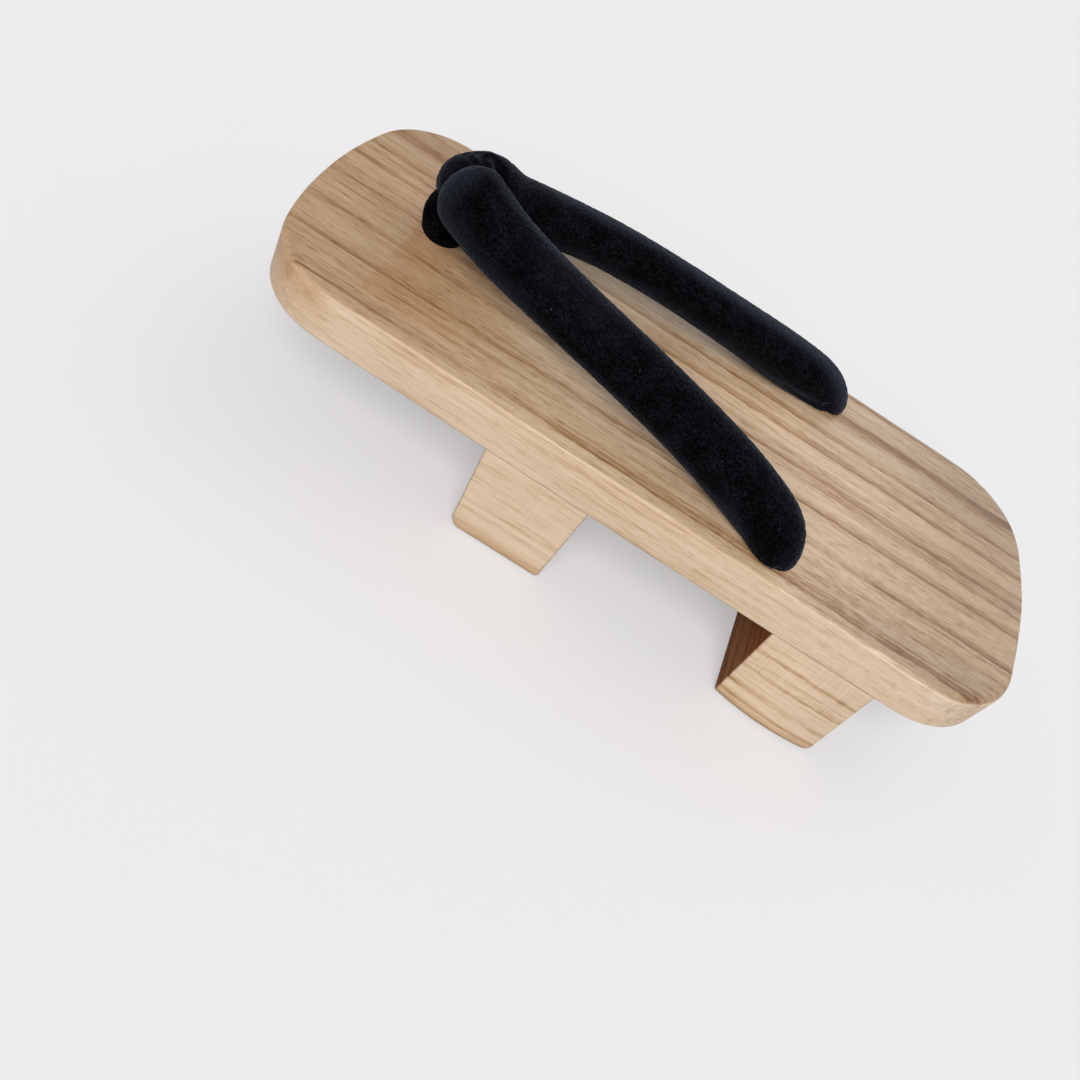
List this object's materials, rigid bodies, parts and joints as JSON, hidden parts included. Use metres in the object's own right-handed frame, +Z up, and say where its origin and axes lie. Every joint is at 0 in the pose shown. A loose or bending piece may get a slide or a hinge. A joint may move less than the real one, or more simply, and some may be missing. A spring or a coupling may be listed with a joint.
{
  "type": "geta sandal",
  "caption": "Wooden geta sandal: a rounded foot board on glued teeth, with a padded black velvet V strap held by a toe post.",
  "frame": {"origin": "on the floor, under the middle of the foot board", "axes": "+Y towards the toe, +X to the wearer's right, +Z up"},
  "size_m": [0.1054, 0.25, 0.0787],
  "materials": {
    "board_wood": "bare planed wood, satin",
    "tooth_wood": "bare sawn wood, matt",
    "velvet": "black cotton velvet with a short nap"
  },
  "bodies": {
    "root": {"dai": "board_wood", "tooth_front": "tooth_wood", "tooth_rear": "tooth_wood", "hanao": "velvet", "maetsubo": "velvet"}
  },
  "joints": []
}
